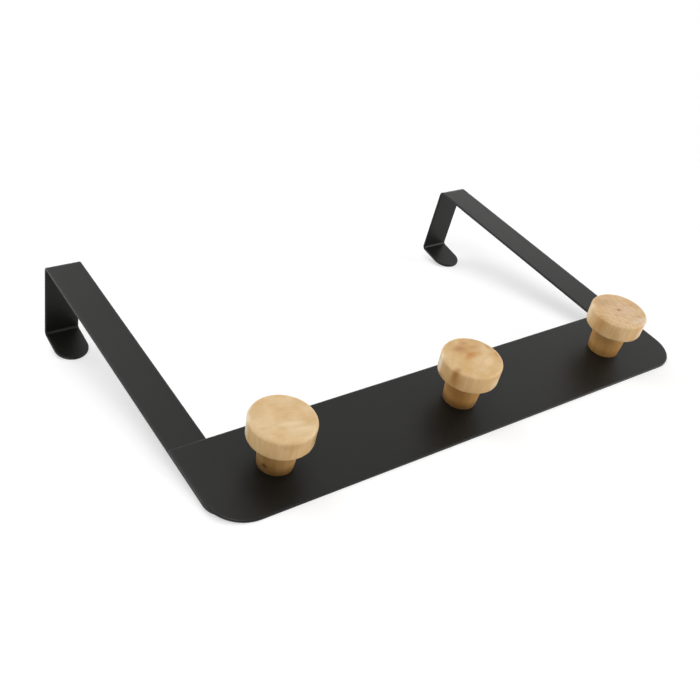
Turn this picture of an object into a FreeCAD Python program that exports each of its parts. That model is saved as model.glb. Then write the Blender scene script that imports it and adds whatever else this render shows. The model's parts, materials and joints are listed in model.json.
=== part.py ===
import FreeCAD, Part
import math
import os
import Sketcher

# Over door hook rail: a flat steel plate with three turned wooden knobs, carried by two folded steel
# strips. Each strip is an arm that runs up the door's face, a web that lies over the door's top edge
# and a round-ended lip that hangs down behind the door.
#
# Every piece is drawn in the frame of the hook: X along the plate, Y from the plate's back edge
# towards the webs, Z out of the plate's show face, with the origin at the middle of the back edge of
# that face. The placements then stand the hook as it rests on a table: on the plate's front edge and
# the tips of the two lips.

# Driving sizes, in millimetres and degrees
SIZES = (
    ("plate_length", 300.0, "plate, end to end"),
    ("plate_width", 51.5, "plate, front edge to back edge"),
    ("plate_thickness", 1.5, "sheet of the plate"),
    ("corner_radius", 18.5, "rounded front corners of the plate"),
    ("edge_round", 0.5, "soft edge that blasting and powder coat leave on the sheet"),
    ("strip_width", 19.5, "strip that each arm is folded from"),
    ("strip_thickness", 1.5, "sheet of the strips"),
    ("arm_lap", 43.0, "length of each strip under the plate, to its round end"),
    ("arm_reach", 150.6, "plate's back edge to the inner face of the web"),
    ("door_gap", 46.5, "arm to lip, along the inner face of the web"),
    ("web_lean", 3.25, "web's angle away from square to the arm"),
    ("lip_length", 23.5, "inner face of the web to the tip of the lip"),
    ("lip_fall", 6.1, "angle that the lip drops away from the arm"),
    ("bend_radius", 1.5, "inside of both folds"),
    ("weld_spacing", 20.0, "between the two spot welds of a strip"),
    ("weld_mark_diameter", 5.0, "mark that the welding tip leaves under the strip"),
    ("weld_mark_depth", 0.15, "depth of that mark"),
    ("screw_side_gap", 16.0, "head of an outer knob's screw to the strip beside it"),
    ("knob_height", 27.5, "knob, seat to top"),
    ("head_thickness", 11.2, "head of the knob"),
    ("head_top_diameter", 31.6, "head at its top rim"),
    ("head_base_diameter", 31.1, "head at its lower rim"),
    ("head_top_round", 1.8, "rounding of the top rim"),
    ("head_base_round", 1.3, "rounding of the lower rim"),
    ("neck_top_diameter", 19.8, "neck where it meets the head"),
    ("neck_base_diameter", 17.4, "neck at its seat on the plate"),
    ("neck_cove", 1.0, "hollow radius between neck and head"),
    ("pilot_depth", 17.0, "straight part of the screw's hole in the knob"),
    ("screw_diameter", 4.0, "shank, over the thread"),
    ("screw_length", 16.0, "screw below its head"),
    ("screw_tip_length", 2.5, "cone at the screw's end"),
    ("screw_head_diameter", 9.0, "low wide head behind the plate"),
    ("screw_head_height", 1.3, "stays within the strips' thickness, clear of the door"),
    ("recess_length", 4.6, "arms of the cross recess, end to end"),
    ("recess_width", 1.0, "arms of the cross recess, across"),
    ("recess_depth", 0.9, "depth of the cross recess"),
    ("thread_clearance", 0.05, "around the screw in the knob"),
    ("hole_clearance", 0.25, "around the screw in the plate"),
)

# Knobs from left to right, as steps of the knob spacing from the middle of the plate
KNOB_STEPS = {"knob_left": -1, "knob_centre": 0, "knob_right": 1}

# The outer knobs sit beside the strips, so the spacing follows the plate, the strips and the screws
KNOB_SPACING = (
    "(sizes.plate_length / 2 - sizes.strip_width - sizes.screw_side_gap - sizes.screw_head_diameter / 2)"
)

DRILL_POINT_ANGLE = 118.0
FULL_TURN = 360.0
HALF_TURN = 180.0
QUARTER_TURN = 90.0
EDGE_TOLERANCE = 1e-4


def make_sheet(doc):
    """Puts the driving sizes in a spreadsheet, one named cell each."""
    sheet = doc.addObject("Spreadsheet::Sheet", "sizes")
    for row, (name, value, meaning) in enumerate(SIZES, start=1):
        sheet.set(f"A{row}", name)
        sheet.set(f"B{row}", str(value))
        sheet.set(f"C{row}", meaning)
        sheet.setAlias(f"B{row}", name)
    doc.recompute()
    return sheet


def add_body(doc, name):
    """Starts an empty body that is named for its piece."""
    body = doc.addObject("PartDesign::Body", name)
    body.Label = name
    body.AllowCompound = True
    return body


def add_sketch(body, name, role):
    """Adds a sketch on one of the body's own origin planes."""
    planes = [plane for plane in body.Origin.OriginFeatures if plane.Role == role]
    sketch = body.newObject("Sketcher::SketchObject", name)
    sketch.AttachmentSupport = (planes[0], [""])
    sketch.MapMode = "FlatFace"
    return sketch


def add_feature(body, kind, name, profile, **settings):
    """Adds a feature made from a profile and makes it the body's latest state."""
    feature = body.newObject(f"PartDesign::{kind}", name)
    feature.Profile = profile
    for setting, value in settings.items():
        setattr(feature, setting, value)
    body.Tip = feature
    return feature


def drive(sketch, kind, where, start, formula):
    """Adds a dimension to a sketch and binds it to a formula of the driving sizes."""
    index = sketch.addConstraint(Sketcher.Constraint(kind, *where, start))
    sketch.setExpression(f"Constraints[{index}]", formula)


def line(sketch, start, end, construction=False):
    """Draws a straight line between two points of a sketch and gives its number."""
    ends = [FreeCAD.Vector(*start, 0), FreeCAD.Vector(*end, 0)]
    return sketch.addGeometry(Part.LineSegment(*ends), construction)


def arc(sketch, centre, radius, start, end):
    """Draws an arc, anticlockwise between two angles in degrees, and gives its number."""
    circle = Part.Circle(FreeCAD.Vector(*centre, 0), FreeCAD.Vector(0, 0, 1), radius)
    span = [math.radians(start), math.radians(end)]
    return sketch.addGeometry(Part.ArcOfCircle(circle, *span), False)


def join(sketch, *pairs, kind="Coincident"):
    """Ties pairs of end points together: each is a line or arc and 1 for its start, 2 for its end."""
    for first, first_end, second, second_end in pairs:
        sketch.addConstraint(Sketcher.Constraint(kind, first, first_end, second, second_end))


def sharp_edges(shape):
    """Names the edges where two faces meet at an angle, and leaves out the seams of smooth bends."""
    names = []
    for number, edge in enumerate(shape.Edges, start=1):
        faces = shape.ancestorsOfType(edge, Part.Face)
        middle = edge.valueAt((edge.FirstParameter + edge.LastParameter) / 2)
        normals = [face.normalAt(*face.Surface.parameter(middle)) for face in faces]
        if len(normals) == 2 and normals[0].cross(normals[1]).Length > EDGE_TOLERANCE:
            names.append(f"Edge{number}")
    return names


def soften_edges(doc, body, name):
    """Rounds every sharp edge that the piece has so far, as the coating does."""
    doc.recompute()
    base = body.Tip
    soft = body.newObject("PartDesign::Fillet", name)
    soft.Base = (base, sharp_edges(base.Shape))
    soft.setExpression("Radius", "sizes.edge_round")
    body.Tip = soft


def knob_spacing(size):
    """Distance from one knob to the next, as the formula above gives it."""
    beside_strip = size.plate_length / 2 - size.strip_width
    return beside_strip - size.screw_side_gap - size.screw_head_diameter / 2


def draw_plate_outline(sketch, size):
    """Draws the plate's outline: square back corners and rounded front corners."""
    half = size.plate_length / 2
    width = size.plate_width
    radius = size.corner_radius
    inner = half - radius
    back = line(sketch, (-half, 0), (half, 0))
    right = line(sketch, (half, 0), (half, radius - width))
    right_corner = arc(sketch, (inner, radius - width), radius, -QUARTER_TURN, 0)
    front = line(sketch, (inner, -width), (-inner, -width))
    left_corner = arc(sketch, (-inner, radius - width), radius, HALF_TURN, HALF_TURN + QUARTER_TURN)
    left = line(sketch, (-half, radius - width), (-half, 0))
    join(sketch, (back, 2, right, 1), (left, 2, back, 1))
    join(
        sketch,
        (right, 2, right_corner, 2),
        (right_corner, 1, front, 1),
        (front, 2, left_corner, 2),
        (left_corner, 1, left, 1),
        kind="Tangent",
    )
    for straight, direction in ((back, "Horizontal"), (right, "Vertical"), (left, "Vertical")):
        sketch.addConstraint(Sketcher.Constraint(direction, straight))
    sketch.addConstraint(Sketcher.Constraint("Equal", right_corner, left_corner))
    sketch.addConstraint(Sketcher.Constraint("Symmetric", back, 1, back, 2, -1, 1))
    drive(sketch, "DistanceX", (back, 1, back, 2), size.plate_length, "sizes.plate_length")
    drive(sketch, "DistanceY", (front, 1, back, 2), width, "sizes.plate_width")
    drive(sketch, "Radius", (right_corner,), radius, "sizes.corner_radius")


def make_plate(doc, size):
    """The flat plate: outline, softened edges and a screw hole under each knob."""
    body = add_body(doc, "front_plate")
    outline = add_sketch(body, "plate_outline", "XY_Plane")
    draw_plate_outline(outline, size)
    pad = add_feature(body, "Pad", "plate_sheet", outline, Reversed=True)
    pad.setExpression("Length", "sizes.plate_thickness")
    soften_edges(doc, body, "plate_soft_edges")

    holes = add_sketch(body, "plate_holes", "XY_Plane")
    radius = size.screw_diameter / 2 + size.hole_clearance
    for step in KNOB_STEPS.values():
        centre = FreeCAD.Vector(step * knob_spacing(size), -size.plate_width / 2, 0)
        circle = holes.addGeometry(Part.Circle(centre, FreeCAD.Vector(0, 0, 1), radius), False)
        drive(holes, "Radius", (circle,), radius, "sizes.screw_diameter / 2 + sizes.hole_clearance")
        drive(holes, "DistanceY", (circle, 3, -1, 1), -centre.y, "sizes.plate_width / 2")
        if step:
            drive(holes, "DistanceX", (-1, 1, circle, 3), centre.x, f"{KNOB_SPACING} * {step}")
        else:
            holes.addConstraint(Sketcher.Constraint("PointOnObject", circle, 3, -2))
    add_feature(body, "Pocket", "plate_screw_holes", holes, Type="ThroughAll", Midplane=True)
    return body


def lap_straight(size):
    """The lap's straight part, from the middle of its round end to the plate's back edge."""
    return size.arm_lap - size.strip_width / 2


def draw_strip_path(sketch, size):
    """Draws the strip's inner face from the side: arm, fold, web, fold, and the lip's straight part."""
    radius = size.bend_radius
    lean = size.web_lean
    fall = size.lip_fall
    web_way = FreeCAD.Vector(math.sin(math.radians(lean)), -math.cos(math.radians(lean)), 0)
    lip_way = FreeCAD.Vector(-math.cos(math.radians(fall)), -math.sin(math.radians(fall)), 0)
    arm_end = FreeCAD.Vector(lap_straight(size) + size.arm_reach - radius, 0, 0)
    top_centre = arm_end - FreeCAD.Vector(0, radius, 0)
    web_start = top_centre - FreeCAD.Vector(web_way.y, -web_way.x, 0) * radius
    web_end = web_start + web_way * (size.door_gap - 2 * radius)
    low_centre = web_end + FreeCAD.Vector(web_way.y, -web_way.x, 0) * radius
    lip_start = low_centre - FreeCAD.Vector(lip_way.y, -lip_way.x, 0) * radius
    lip_end = lip_start + lip_way * (size.lip_length - size.strip_width / 2 - radius)

    arm = line(sketch, (0, 0), (arm_end.x, arm_end.y))
    top_fold = arc(sketch, (top_centre.x, top_centre.y), radius, lean, QUARTER_TURN)
    web = line(sketch, (web_start.x, web_start.y), (web_end.x, web_end.y))
    low_fold = arc(sketch, (low_centre.x, low_centre.y), radius, fall - QUARTER_TURN, lean)
    lip = line(sketch, (lip_start.x, lip_start.y), (lip_end.x, lip_end.y))
    join(sketch, (arm, 1, -1, 1))
    join(
        sketch,
        (arm, 2, top_fold, 2),
        (top_fold, 1, web, 1),
        (web, 2, low_fold, 2),
        (low_fold, 1, lip, 1),
        kind="Tangent",
    )
    sketch.addConstraint(Sketcher.Constraint("Horizontal", arm))

    # A fold takes this much off each straight, measured from the corner that its faces would make
    top_setback = "sizes.bend_radius * tan((90 - sizes.web_lean) / 2 * 1 deg)"
    low_setback = "sizes.bend_radius * tan((90 + sizes.web_lean - sizes.lip_fall) / 2 * 1 deg)"
    arm_length = f"sizes.arm_lap - sizes.strip_width / 2 + sizes.arm_reach - {top_setback}"
    web_length = f"sizes.door_gap - {top_setback} - {low_setback}"
    lip_length = f"sizes.lip_length - sizes.strip_width / 2 - {low_setback}"
    web_angle = math.radians(lean - QUARTER_TURN)
    lip_angle = math.radians(fall - HALF_TURN)
    drive(sketch, "Radius", (top_fold,), radius, "sizes.bend_radius")
    drive(sketch, "Radius", (low_fold,), radius, "sizes.bend_radius")
    drive(sketch, "Distance", (arm,), arm_end.x, arm_length)
    drive(sketch, "Distance", (web,), size.door_gap - 2 * radius, web_length)
    drive(sketch, "Distance", (lip,), (lip_end - lip_start).Length, lip_length)
    drive(sketch, "Angle", (web,), web_angle, "(sizes.web_lean - 90) * 1 deg")
    drive(sketch, "Angle", (lip,), lip_angle, "(sizes.lip_fall - 180) * 1 deg")
    return lip


def draw_strip_section(sketch, size):
    """Draws the strip's cross section, with the face that meets the door along the path."""
    width = size.strip_width
    thickness = size.strip_thickness
    low = line(sketch, (0, 0), (width, 0))
    right = line(sketch, (width, 0), (width, thickness))
    high = line(sketch, (width, thickness), (0, thickness))
    left = line(sketch, (0, thickness), (0, 0))
    join(sketch, (low, 2, right, 1), (right, 2, high, 1), (high, 2, left, 1), (left, 2, low, 1))
    join(sketch, (low, 1, -1, 1))
    for straight, direction in ((low, "Horizontal"), (high, "Horizontal")):
        sketch.addConstraint(Sketcher.Constraint(direction, straight))
    for straight, direction in ((right, "Vertical"), (left, "Vertical")):
        sketch.addConstraint(Sketcher.Constraint(direction, straight))
    drive(sketch, "DistanceX", (low, 1, low, 2), width, "sizes.strip_width")
    drive(sketch, "DistanceY", (right, 1, right, 2), thickness, "sizes.strip_thickness")


def draw_lap_end(sketch, size):
    """Draws half the section of the round end under the plate, to be turned about the sketch's axis."""
    reach = size.strip_width / 2
    thickness = size.strip_thickness
    points = [(-reach, 0), (0, 0), (0, thickness), (-reach, thickness)]
    inner, middle, outer, end = [line(sketch, points[i], points[(i + 1) % 4]) for i in range(4)]
    join(sketch, (inner, 2, middle, 1), (middle, 2, outer, 1), (outer, 2, end, 1), (end, 2, inner, 1))
    join(sketch, (middle, 1, -1, 1))
    for straight, direction in ((inner, "Horizontal"), (outer, "Horizontal")):
        sketch.addConstraint(Sketcher.Constraint(direction, straight))
    for straight, direction in ((middle, "Vertical"), (end, "Vertical")):
        sketch.addConstraint(Sketcher.Constraint(direction, straight))
    drive(sketch, "DistanceY", (middle, 1, middle, 2), thickness, "sizes.strip_thickness")
    drive(sketch, "DistanceX", (inner, 1, inner, 2), reach, "sizes.strip_width / 2")


def draw_lip_tip(sketch, size, path, lip):
    """Draws half the section of the lip's round end, to be turned about the strip's middle line."""
    reach = size.strip_width / 2
    thickness = size.strip_thickness
    sketch.addExternal(path.Name, f"Edge{lip + 1}")
    lip_edge = -len(sketch.ExternalGeometry) - 2
    start = path.Geometry[lip].EndPoint
    along = (start - path.Geometry[lip].StartPoint).normalize()
    out = FreeCAD.Vector(-along.y, along.x, 0)
    corners = [start, start + out * thickness, start + out * thickness + along * reach]
    corners.append(start + along * reach)
    points = [(corner.x, corner.y) for corner in corners]
    axis = line(sketch, points[0], points[1], construction=True)
    middle = line(sketch, points[0], points[1])
    outer = line(sketch, points[1], points[2])
    end = line(sketch, points[2], points[3])
    inner = line(sketch, points[3], points[0])
    join(sketch, (middle, 2, outer, 1), (outer, 2, end, 1), (end, 2, inner, 1), (inner, 2, middle, 1))
    join(sketch, (middle, 1, lip_edge, 2), (axis, 1, middle, 1), (axis, 2, middle, 2))
    sketch.addConstraint(Sketcher.Constraint("Perpendicular", middle, lip_edge))
    sketch.addConstraint(Sketcher.Constraint("Parallel", inner, lip_edge))
    sketch.addConstraint(Sketcher.Constraint("Parallel", outer, lip_edge))
    sketch.addConstraint(Sketcher.Constraint("Parallel", end, middle))
    drive(sketch, "Distance", (middle,), thickness, "sizes.strip_thickness")
    drive(sketch, "Distance", (inner,), reach, "sizes.strip_width / 2")


def add_weld_marks(body, size):
    """Presses the two shallow round marks of the spot welds into the strip's underside."""
    marks = add_sketch(body, "weld_marks", "XY_Plane")
    radius = size.weld_mark_diameter / 2
    for side in (-1, 1):
        place = lap_straight(size) / 2 + side * size.weld_spacing / 2
        centre = FreeCAD.Vector(size.strip_width / 2, place, 0)
        circle = marks.addGeometry(Part.Circle(centre, FreeCAD.Vector(0, 0, 1), radius), False)
        lap = "(sizes.arm_lap - sizes.strip_width / 2) / 2"
        along = f"{lap} + {side} * sizes.weld_spacing / 2"
        drive(marks, "Radius", (circle,), radius, "sizes.weld_mark_diameter / 2")
        drive(marks, "DistanceX", (-1, 1, circle, 3), centre.x, "sizes.strip_width / 2")
        drive(marks, "DistanceY", (-1, 1, circle, 3), centre.y, along)
    pocket = add_feature(body, "Pocket", "weld_mark_hollows", marks, Reversed=True)
    pocket.setExpression("Length", "sizes.weld_mark_depth")


def make_arm(doc, name, size):
    """One folded strip, round at both ends: a lap under the plate, arm, web and lip."""
    body = add_body(doc, name)
    path = add_sketch(body, f"{name}_path", "YZ_Plane")
    lip = draw_strip_path(path, size)
    section = add_sketch(body, f"{name}_section", "XZ_Plane")
    draw_strip_section(section, size)
    doc.recompute()
    add_feature(body, "AdditivePipe", f"{name}_strip", section, Spine=path)

    for end, axis in (("lap_end", "V_Axis"), ("lip_tip", "Axis0")):
        sketch = add_sketch(body, f"{name}_{end}_section", "YZ_Plane")
        sketch.setExpression("AttachmentOffset.Base.z", "sizes.strip_width / 2")
        doc.recompute()
        if end == "lap_end":
            draw_lap_end(sketch, size)
        else:
            draw_lip_tip(sketch, size, path, lip)
        turn = {"ReferenceAxis": (sketch, [axis]), "Angle": HALF_TURN, "Midplane": True}
        add_feature(body, "Revolution", f"{name}_{end}", sketch, **turn)
    soften_edges(doc, body, f"{name}_soft_edges")
    add_weld_marks(body, size)
    return body, path, lip


def round_rim(doc, body, name, height, radius_formula, diameter):
    """Rounds the circular rims of a turned piece at one height and diameter."""
    doc.recompute()
    base = body.Tip
    rims = []
    for number, edge in enumerate(base.Shape.Edges, start=1):
        if not isinstance(edge.Curve, Part.Circle):
            continue
        at_height = abs(edge.Curve.Center.z - height) < EDGE_TOLERANCE
        at_rim = abs(edge.Curve.Radius - diameter / 2) < EDGE_TOLERANCE
        if at_height and at_rim:
            rims.append(f"Edge{number}")
    rim = body.newObject("PartDesign::Fillet", name)
    rim.Base = (base, rims)
    rim.setExpression("Radius", radius_formula)
    body.Tip = rim


def draw_knob_outline(sketch, size):
    """Draws half the knob's section: seat, neck, underside of the head, head and top."""
    height = size.knob_height
    shoulder = height - size.head_thickness
    widths = [size.neck_base_diameter, size.neck_top_diameter]
    widths += [size.head_base_diameter, size.head_top_diameter]
    base, neck, head_low, head_top = [width / 2 for width in widths]
    points = [(0, 0), (base, 0), (neck, shoulder), (head_low, shoulder), (head_top, height)]
    points.append((0, height))
    seat, side, underside, head, top, axis = [
        line(sketch, points[i], points[(i + 1) % len(points)]) for i in range(len(points))
    ]
    lines = [seat, side, underside, head, top, axis]
    for current, following in zip(lines, lines[1:] + lines[:1]):
        join(sketch, (current, 2, following, 1))
    join(sketch, (seat, 1, -1, 1))
    for straight in (seat, underside, top):
        sketch.addConstraint(Sketcher.Constraint("Horizontal", straight))
    sketch.addConstraint(Sketcher.Constraint("Vertical", axis))
    drive(sketch, "DistanceX", (seat, 1, seat, 2), base, "sizes.neck_base_diameter / 2")
    drive(sketch, "DistanceX", (-1, 1, side, 2), neck, "sizes.neck_top_diameter / 2")
    drive(sketch, "DistanceX", (-1, 1, underside, 2), head_low, "sizes.head_base_diameter / 2")
    drive(sketch, "DistanceX", (-1, 1, head, 2), head_top, "sizes.head_top_diameter / 2")
    drive(sketch, "DistanceY", (-1, 1, top, 1), height, "sizes.knob_height")
    drive(sketch, "DistanceY", (head, 1, head, 2), size.head_thickness, "sizes.head_thickness")


def make_knob(doc, name, size):
    """One turned knob: a head on a tapered neck, with a blind hole for its screw."""
    body = add_body(doc, name)
    outline = add_sketch(body, f"{name}_outline", "XZ_Plane")
    draw_knob_outline(outline, size)
    axis = (outline, ["V_Axis"])
    add_feature(body, "Revolution", f"{name}_turned", outline, ReferenceAxis=axis, Angle=FULL_TURN)
    shoulder = size.knob_height - size.head_thickness
    rims = (
        ("top_rim", size.knob_height, "sizes.head_top_round", size.head_top_diameter),
        ("low_rim", shoulder, "sizes.head_base_round", size.head_base_diameter),
        ("cove", shoulder, "sizes.neck_cove", size.neck_top_diameter),
    )
    for rim, height, formula, diameter in rims:
        round_rim(doc, body, f"{name}_{rim}", height, formula, diameter)

    mouth = add_sketch(body, f"{name}_hole_mouth", "XY_Plane")
    radius = size.screw_diameter / 2 + size.thread_clearance
    circle = mouth.addGeometry(Part.Circle(FreeCAD.Vector(), FreeCAD.Vector(0, 0, 1), radius), False)
    join(mouth, (circle, 3, -1, 1))
    drive(mouth, "Radius", (circle,), radius, "sizes.screw_diameter / 2 + sizes.thread_clearance")
    doc.recompute()
    hole = add_feature(body, "Hole", f"{name}_screw_hole", mouth, Reversed=True)
    hole.DepthType = "Dimension"
    hole.DrillPoint = "Angled"
    hole.DrillPointAngle = DRILL_POINT_ANGLE
    hole.setExpression("Diameter", "sizes.screw_diameter + 2 * sizes.thread_clearance")
    hole.setExpression("Depth", "sizes.pilot_depth")
    return body


def draw_screw_outline(sketch, size):
    """Draws half the screw's section, seat of the head at Z 0 and the shank upwards."""
    shank = size.screw_diameter / 2
    head = size.screw_head_diameter / 2
    length = size.screw_length
    shoulder = length - size.screw_tip_length
    low = -size.screw_head_height
    points = [(0, low), (head, low), (head, 0), (shank, 0), (shank, shoulder), (0, length)]
    face, rim, seat, side, tip, axis = [
        line(sketch, points[i], points[(i + 1) % len(points)]) for i in range(len(points))
    ]
    lines = [face, rim, seat, side, tip, axis]
    for current, following in zip(lines, lines[1:] + lines[:1]):
        join(sketch, (current, 2, following, 1))
    for straight in (face, seat):
        sketch.addConstraint(Sketcher.Constraint("Horizontal", straight))
    for straight in (rim, side, axis):
        sketch.addConstraint(Sketcher.Constraint("Vertical", straight))
    sketch.addConstraint(Sketcher.Constraint("PointOnObject", seat, 2, -1))
    sketch.addConstraint(Sketcher.Constraint("PointOnObject", axis, 1, -2))
    drive(sketch, "DistanceX", (face, 1, face, 2), head, "sizes.screw_head_diameter / 2")
    drive(sketch, "DistanceX", (-1, 1, seat, 2), shank, "sizes.screw_diameter / 2")
    drive(sketch, "DistanceY", (rim, 1, rim, 2), -low, "sizes.screw_head_height")
    drive(sketch, "DistanceY", (-1, 1, tip, 2), length, "sizes.screw_length")
    drive(sketch, "DistanceY", (side, 2, tip, 2), size.screw_tip_length, "sizes.screw_tip_length")


def draw_recess_arm(sketch, size, across):
    """Draws one arm of the cross recess, centred on the screw's axis."""
    sides = [("sizes.recess_length", size.recess_length), ("sizes.recess_width", size.recess_width)]
    if across:
        sides.reverse()
    (wide_formula, wide), (tall_formula, tall) = sides
    x, y = wide / 2, tall / 2
    points = [(-x, -y), (x, -y), (x, y), (-x, y)]
    low, right, high, left = [line(sketch, points[i], points[(i + 1) % 4]) for i in range(4)]
    join(sketch, (low, 2, right, 1), (right, 2, high, 1), (high, 2, left, 1), (left, 2, low, 1))
    for straight, direction in ((low, "Horizontal"), (high, "Horizontal")):
        sketch.addConstraint(Sketcher.Constraint(direction, straight))
    for straight, direction in ((right, "Vertical"), (left, "Vertical")):
        sketch.addConstraint(Sketcher.Constraint(direction, straight))
    sketch.addConstraint(Sketcher.Constraint("Symmetric", low, 1, high, 1, -1, 1))
    drive(sketch, "DistanceX", (low, 1, low, 2), wide, wide_formula)
    drive(sketch, "DistanceY", (right, 1, right, 2), tall, tall_formula)


def make_screws(doc, size):
    """The three screws from behind, as one body of separate screws, the left one at its origin."""
    body = add_body(doc, "knob_screws")
    outline = add_sketch(body, "screw_outline", "XZ_Plane")
    draw_screw_outline(outline, size)
    axis = (outline, ["V_Axis"])
    turned = add_feature(body, "Revolution", "screw_turned", outline, ReferenceAxis=axis, Angle=FULL_TURN)
    made = [turned]
    for across in (False, True):
        name = "recess_across" if across else "recess_along"
        sketch = add_sketch(body, f"{name}_outline", "XY_Plane")
        sketch.setExpression("AttachmentOffset.Base.z", "-sizes.screw_head_height")
        draw_recess_arm(sketch, size, across)
        pocket = add_feature(body, "Pocket", name, sketch, Reversed=True)
        pocket.setExpression("Length", "sizes.recess_depth")
        made.append(pocket)
    doc.recompute()
    row = body.newObject("PartDesign::LinearPattern", "screw_row")
    row.Originals = made
    row.Direction = (outline, ["H_Axis"])
    row.setExpression("Length", f"2 * {KNOB_SPACING}")
    row.Occurrences = len(KNOB_STEPS)
    body.Tip = row
    return body


def rest_tilt(size, path, lip):
    """The angle that brings the plate's front edge and the lips' tips down on one level."""
    soft = size.edge_round
    front = FreeCAD.Vector(0, soft - size.plate_width, soft - size.plate_thickness)
    end = path.Geometry[lip].EndPoint
    along = (end - path.Geometry[lip].StartPoint).normalize()
    out = FreeCAD.Vector(-along.y, along.x, 0)
    tip = end + along * (size.strip_width / 2 - soft) + out * (size.strip_thickness - soft)
    tip_y = tip.x - lap_straight(size)
    tip_z = tip.y - size.plate_thickness - size.strip_thickness
    return math.degrees(math.atan2(front.z - tip_z, tip_y - front.y))


def place_pieces(places, tilt):
    """Moves every piece to its place, tilts the hook to rest and centres it over the origin."""
    turn = FreeCAD.Placement(FreeCAD.Vector(), FreeCAD.Rotation(FreeCAD.Vector(1, 0, 0), tilt))
    for body, place in places:
        body.Placement = turn.multiply(FreeCAD.Placement(place, FreeCAD.Rotation()))
    box = FreeCAD.BoundBox()
    for body, place in places:
        box.add(body.Shape.optimalBoundingBox(False, False))
    lift = FreeCAD.Vector(-box.Center.x, -box.Center.y, -box.ZMin)
    print("rest tilt", round(tilt, 4), "degrees, then shifted by", lift)
    for body, place in places:
        body.Placement = FreeCAD.Placement(lift, FreeCAD.Rotation()).multiply(body.Placement)


def check_model(doc, bodies):
    """Stops with a message if any object failed or any piece is empty or broken."""
    for item in doc.Objects:
        if "Invalid" in item.State or "Error" in item.State:
            raise RuntimeError(f"{item.Name} failed: {item.State}")
    for body in bodies:
        if body.Shape.isNull() or not body.Shape.isValid():
            raise RuntimeError(f"{body.Label} is empty or broken")


def main():
    """Builds every piece, stands the hook at rest and writes one STEP file for each node."""
    doc = FreeCAD.newDocument("over_door_hook")
    size = make_sheet(doc)
    underside = -size.plate_thickness
    half = size.plate_length / 2
    middle = -size.plate_width / 2
    arm_level = underside - size.strip_thickness
    lap = lap_straight(size)

    plate = make_plate(doc, size)
    left_arm, path, lip = make_arm(doc, "left_arm", size)
    right_arm = make_arm(doc, "right_arm", size)[0]
    screws = make_screws(doc, size)
    places = [
        (plate, FreeCAD.Vector()),
        (left_arm, FreeCAD.Vector(-half, -lap, arm_level)),
        (right_arm, FreeCAD.Vector(half - size.strip_width, -lap, arm_level)),
        (screws, FreeCAD.Vector(-knob_spacing(size), middle, underside)),
    ]
    for name, step in KNOB_STEPS.items():
        knob = make_knob(doc, name, size)
        places.append((knob, FreeCAD.Vector(step * knob_spacing(size), middle, 0)))

    doc.recompute()
    place_pieces(places, rest_tilt(size, path, lip))
    doc.recompute()
    bodies = [body for body, place in places]
    check_model(doc, bodies)
    os.makedirs("parts", exist_ok=True)
    for body in bodies:
        body.Shape.exportStep(f"parts/{body.Label}.step")
        box = body.Shape.BoundBox
        print(body.Label, len(body.Shape.Solids), "solids, volume", round(body.Shape.Volume, 1), box)


main()
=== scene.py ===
"""Looks of an over door hook rail: black powder coated steel with three turned beech knobs.

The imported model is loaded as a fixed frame, in metres. The plate, the folded strips and the screws keep
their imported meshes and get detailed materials. The knobs are turned again here, finer than the packed
ones and to the same sizes, each from its own piece of wood.
"""

import json
import logging
import math
from dataclasses import dataclass, field
from enum import Enum
from typing import Any, Optional

import bpy
from mathutils import Matrix, Vector

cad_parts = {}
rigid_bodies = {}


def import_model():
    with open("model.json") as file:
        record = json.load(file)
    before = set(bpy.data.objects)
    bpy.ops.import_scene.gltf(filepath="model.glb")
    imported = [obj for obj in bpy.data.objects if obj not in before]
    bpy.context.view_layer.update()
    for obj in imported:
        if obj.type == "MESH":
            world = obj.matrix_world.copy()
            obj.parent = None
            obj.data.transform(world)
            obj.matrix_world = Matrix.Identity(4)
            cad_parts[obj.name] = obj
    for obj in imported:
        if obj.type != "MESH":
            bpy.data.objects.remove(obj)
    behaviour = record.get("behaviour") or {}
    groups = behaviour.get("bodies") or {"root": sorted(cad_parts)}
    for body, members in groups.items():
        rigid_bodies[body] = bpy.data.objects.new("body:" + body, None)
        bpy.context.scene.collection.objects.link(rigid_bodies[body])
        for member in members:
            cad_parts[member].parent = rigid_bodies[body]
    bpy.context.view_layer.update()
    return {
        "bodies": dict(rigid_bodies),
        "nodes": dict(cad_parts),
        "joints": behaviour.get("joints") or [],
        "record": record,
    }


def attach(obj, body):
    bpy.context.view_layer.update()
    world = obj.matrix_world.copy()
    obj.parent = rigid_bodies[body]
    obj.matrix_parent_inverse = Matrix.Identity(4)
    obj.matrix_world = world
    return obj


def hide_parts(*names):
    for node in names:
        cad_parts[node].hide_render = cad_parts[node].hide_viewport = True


LOG = logging.getLogger("over_door_hook")
MM = 0.001
# Heights of a knob's top face, and of the underside of its head, over its seat in millimetres
TOP = 27.5
NECK = 16.3
# Numbers of the colour sockets of a Mix node, which its names don't tell apart
MIX_FIRST = 6
MIX_SECOND = 7
MIX_RESULT = 2


class Part(Enum):
    """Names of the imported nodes."""

    PLATE = "front_plate"
    LEFT_ARM = "left_arm"
    RIGHT_ARM = "right_arm"
    KNOB_LEFT = "knob_left"
    KNOB_CENTRE = "knob_centre"
    KNOB_RIGHT = "knob_right"
    SCREWS = "knob_screws"


def linear(colour: str) -> tuple[float, float, float, float]:
    """Turns an sRGB hex colour into the linear values that the shaders take.

    Args:
        colour: Six hex digits after a hash.

    Returns:
        Linear red, green and blue, and a full alpha.
    """
    digits = colour.lstrip("#")
    values = [int(digits[start:start + 2], 16) / 255 for start in (0, 2, 4)]
    bent = [value / 12.92 if value <= 0.04045 else ((value + 0.055) / 1.055) ** 2.4 for value in values]
    return (bent[0], bent[1], bent[2], 1.0)


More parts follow.
